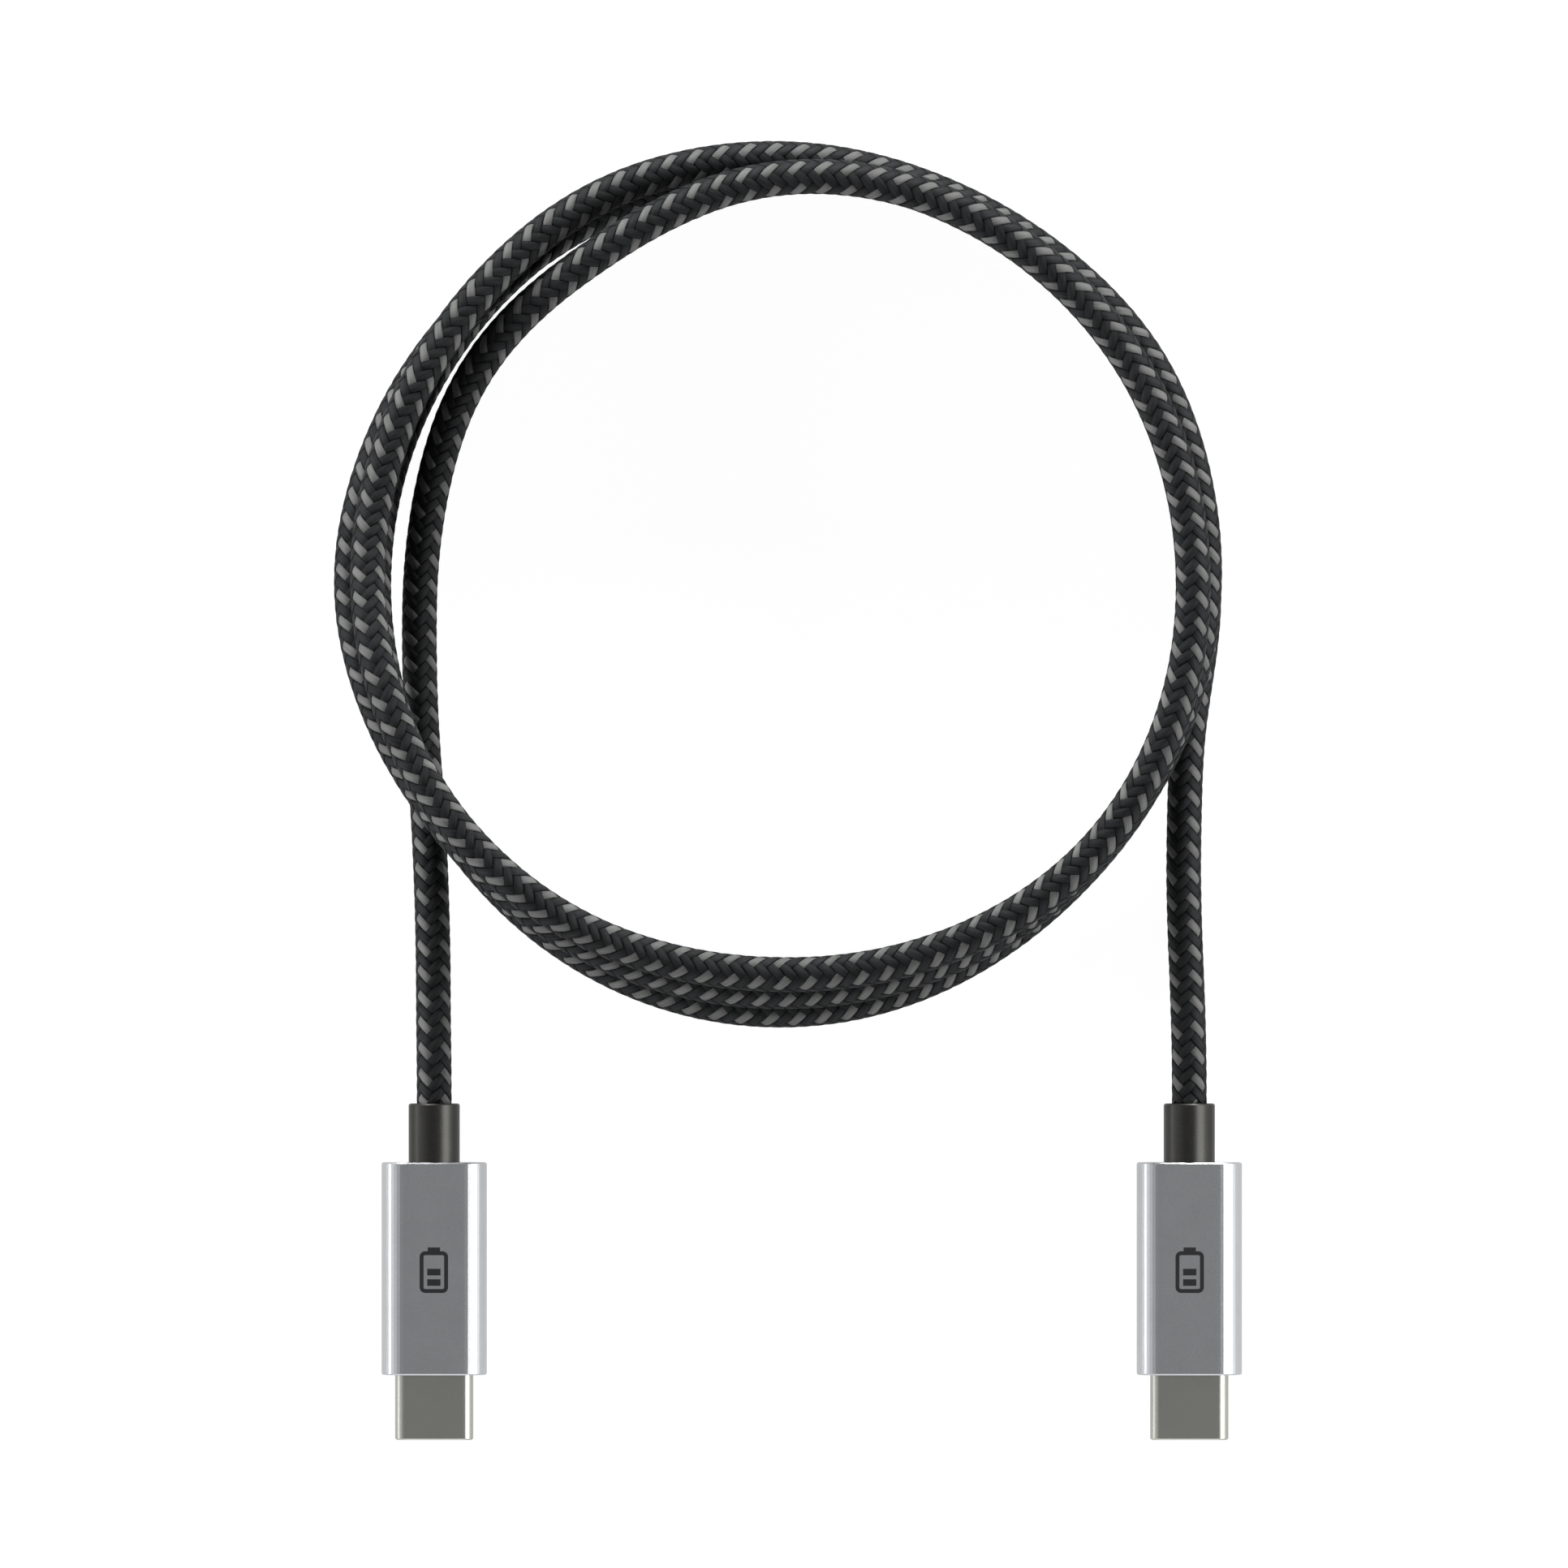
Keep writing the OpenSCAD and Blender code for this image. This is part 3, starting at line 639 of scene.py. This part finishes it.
def make_world():
    """White backdrop, dim light, and a sky for polished faces that brightens to the horizon."""
    world = bpy.data.worlds.new("studio")
    bpy.context.scene.world = world
    world.use_nodes = True
    tree = world.node_tree
    split = tree.nodes.new("ShaderNodeSeparateXYZ")
    tree.links.new(tree.nodes.new("ShaderNodeTexCoord").outputs["Generated"], split.inputs[0])
    ramp = tree.nodes.new("ShaderNodeValToRGB")
    ramp.color_ramp.interpolation = "EASE"
    while len(ramp.color_ramp.elements) < len(SKY):
        ramp.color_ramp.elements.new(0.5)
    for element, (height, grey) in zip(ramp.color_ramp.elements, SKY):
        element.position = height
        element.color = (grey, grey, grey * SKY_BLUE, 1)
    tree.links.new(split.outputs["Z"], ramp.inputs["Fac"])
    sky = tree.nodes["Background"]
    tree.links.new(ramp.outputs["Color"], sky.inputs["Color"])
    lit = by_ray(tree, "Is Glossy Ray", plain_background(tree, AMBIENT), sky)
    seen = by_ray(tree, "Is Camera Ray", lit, plain_background(tree, BACKDROP))
    tree.links.new(seen.outputs[0], tree.nodes["World Output"].inputs["Surface"])


def softbox(name, azimuth, tilt, radiance, size, distance=0.7, gloss=True, diffuse=True):
    """Area light aimed at the cable. azimuth goes from +X to +Y, and tilt is from straight up."""
    light = bpy.data.lights.new(name, "AREA")
    light.shape = "RECTANGLE"
    light.size, light.size_y = size
    light.energy = radiance * math.pi * size[0] * size[1]
    box = bpy.data.objects.new(name, light)
    a, t = math.radians(azimuth), math.radians(tilt)
    away = (math.sin(t) * math.cos(a), math.sin(t) * math.sin(a), math.cos(t))
    centre = ((cad_low.x + cad_high.x) / 2, (cad_low.y + cad_high.y) / 2, 0)
    box.location = [c + distance * d for c, d in zip(centre, away)]
    box.rotation_euler = (0, t, a)
    box.visible_camera = False
    box.visible_glossy = gloss
    box.visible_diffuse = diffuse
    bpy.context.scene.collection.objects.link(box)


def make_lights():
    softbox("right_softbox", 0, 53, 2.4, WIDE_PANEL, diffuse=False)
    softbox("back_softbox", 90, 53, 1.6, WIDE_PANEL, diffuse=False)
    softbox("left_strip", 180, 86, 1.6, STRIP, diffuse=False)
    softbox("low_right_softbox", 0, 79, 9, LOW_PANEL, gloss=False)
    softbox("low_left_softbox", 180, 80, 11, LOW_PANEL, gloss=False)
    softbox("low_front_softbox", 270, 80, 3.5, LOW_PANEL, gloss=False)
    softbox("low_back_softbox", 90, 78, 12, LOW_PANEL)


# ---- build ----

make_camera()
bpy.context.scene.view_settings.view_transform = "Standard"

core = make_core()
braid = make_braid()
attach(core, BODY)
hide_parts("cord_coil", "cord_tail_a", "cord_tail_b")
for ribbons in braid.values():
    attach(ribbons, BODY)

dress_nodes()
dress(core, surface_material("cord_core", CORE_COLOUR_AND_GAP_SHADE, 0, 0.8, 0.2 * MM))
light_yarn = yarn_material("light_yarn", YARN_LIGHT, 0.4, 1.4)
dark_yarn = yarn_material("dark_yarn", YARN_DARK, 0.1, 1.9)
for name, piece in braid.items():
    dress(piece, light_yarn if name == "braid_light" else dark_yarn)

make_floor()
make_world()
make_lights()
